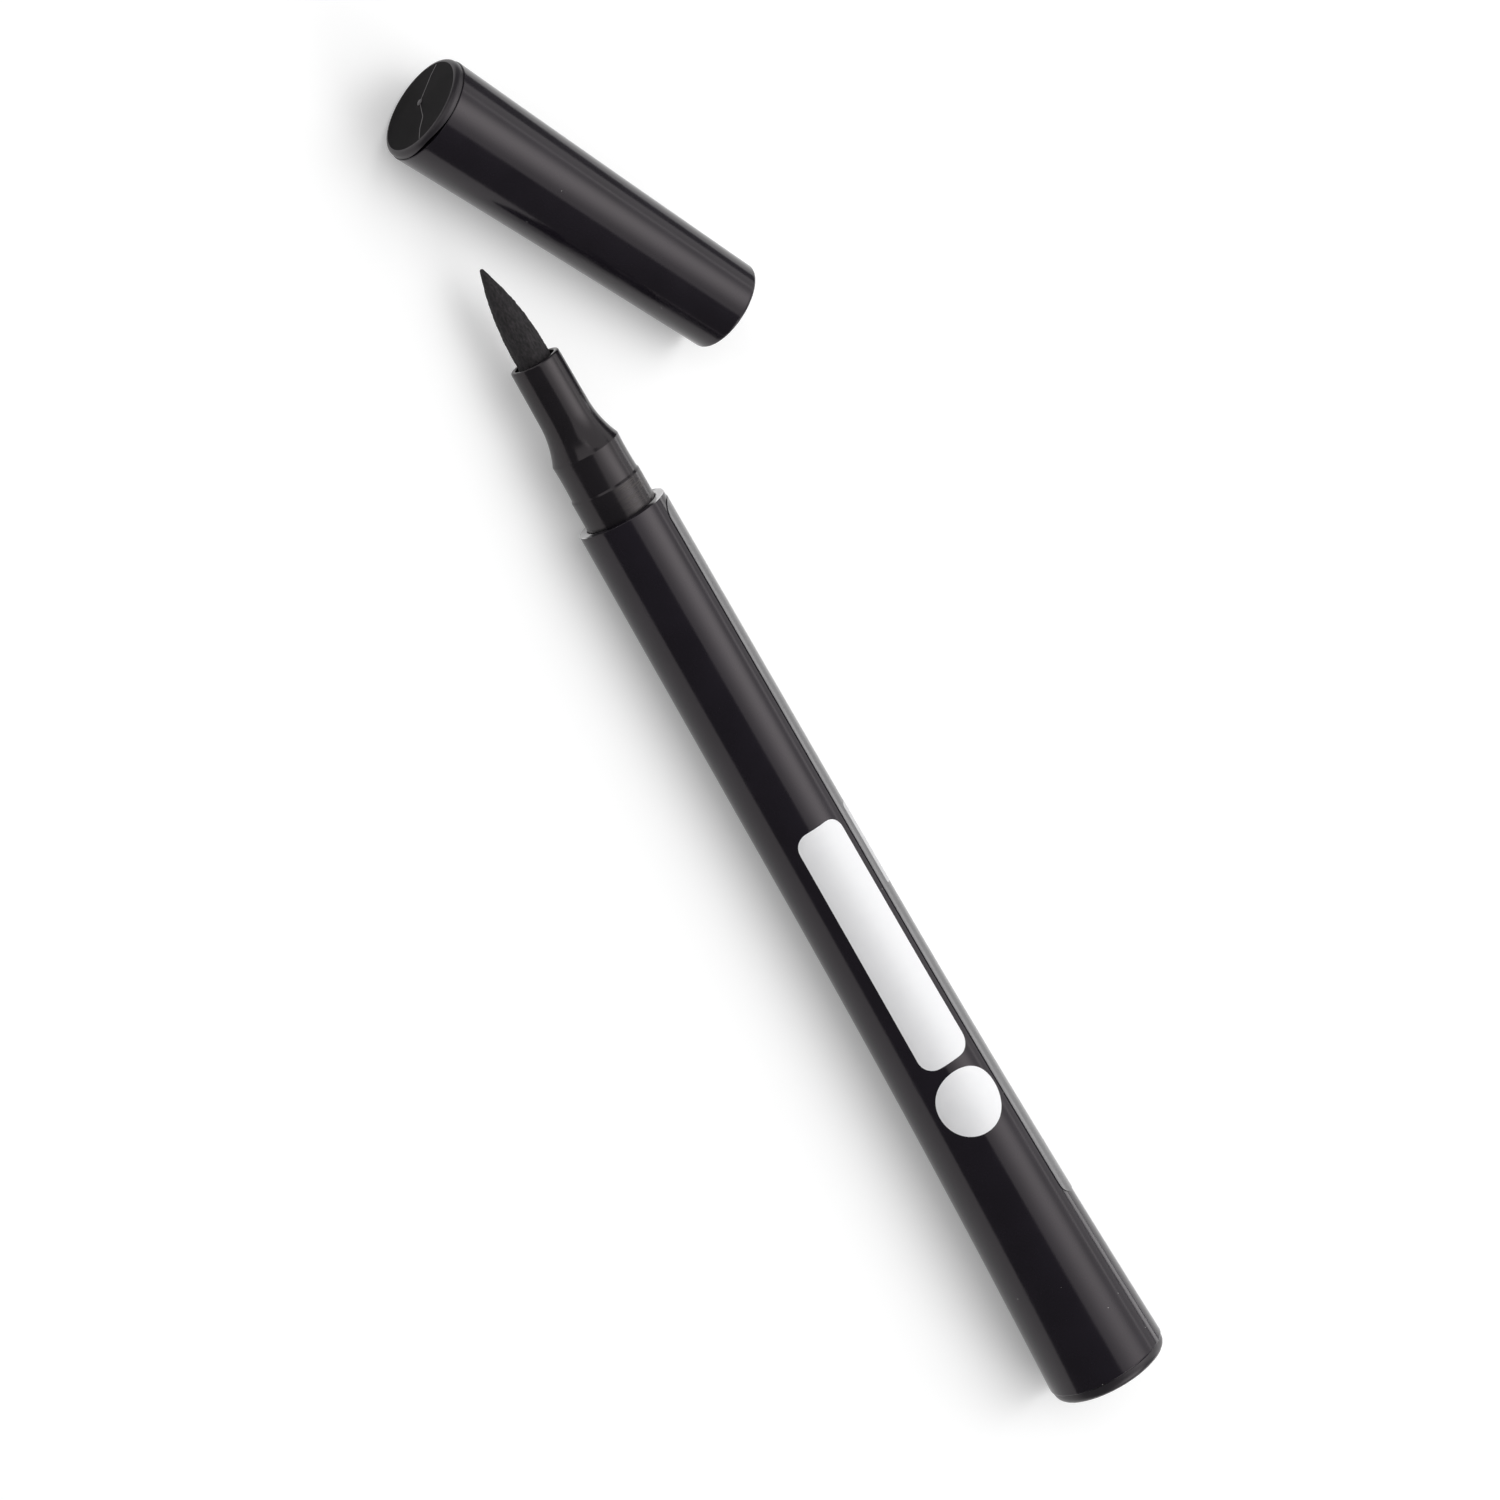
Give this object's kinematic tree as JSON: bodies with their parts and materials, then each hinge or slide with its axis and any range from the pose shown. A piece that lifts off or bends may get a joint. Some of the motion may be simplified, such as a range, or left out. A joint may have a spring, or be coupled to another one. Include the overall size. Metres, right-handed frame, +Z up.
{
  "type": "liquid eyeliner pen",
  "caption": "Slim waisted felt-tip liquid eyeliner pen in gloss black with its pointed fibre nib bare and its flared cap pulled off and lying beside it.",
  "frame": {"origin": "on the table, under the middle of the box round the pen and its cap", "axes": "+X along the pen towards its nib, +Y to the side away from the cap, +Z up"},
  "size_m": [0.1378, 0.0296, 0.0117],
  "materials": {
    "barrel_plastic": "gloss black moulded plastic",
    "cap_plastic": "gloss black moulded plastic",
    "plug_plastic": "semi-gloss black moulded plastic",
    "holder_plastic": "semi-gloss black moulded plastic",
    "nib_felt": "ink-soaked felt",
    "reservoir_fibre": "ink-soaked fibre",
    "wrap_film": "clear film",
    "label_film": "gloss black label film stuck on the barrel",
    "print_ink": "white screen-printed ink",
    "liner_plastic": "matte black plastic"
  },
  "bodies": {
    "pen": {"barrel": "barrel_plastic", "tail_plug": "plug_plastic", "nib_holder": "holder_plastic", "felt_nib": "nib_felt", "ink_reservoir": "reservoir_fibre", "reservoir_wrap": "wrap_film"},
    "cap": {"cap_shell": "cap_plastic", "cap_end_plug": "plug_plastic", "inner_cap": "liner_plastic"}
  },
  "joints": [
    {"name": "cap_pull", "type": "slide", "parent": "pen", "child": "cap", "axis": [0.8657, 0.5006, 0], "range_m": [0, 0.02569]}
  ]
}
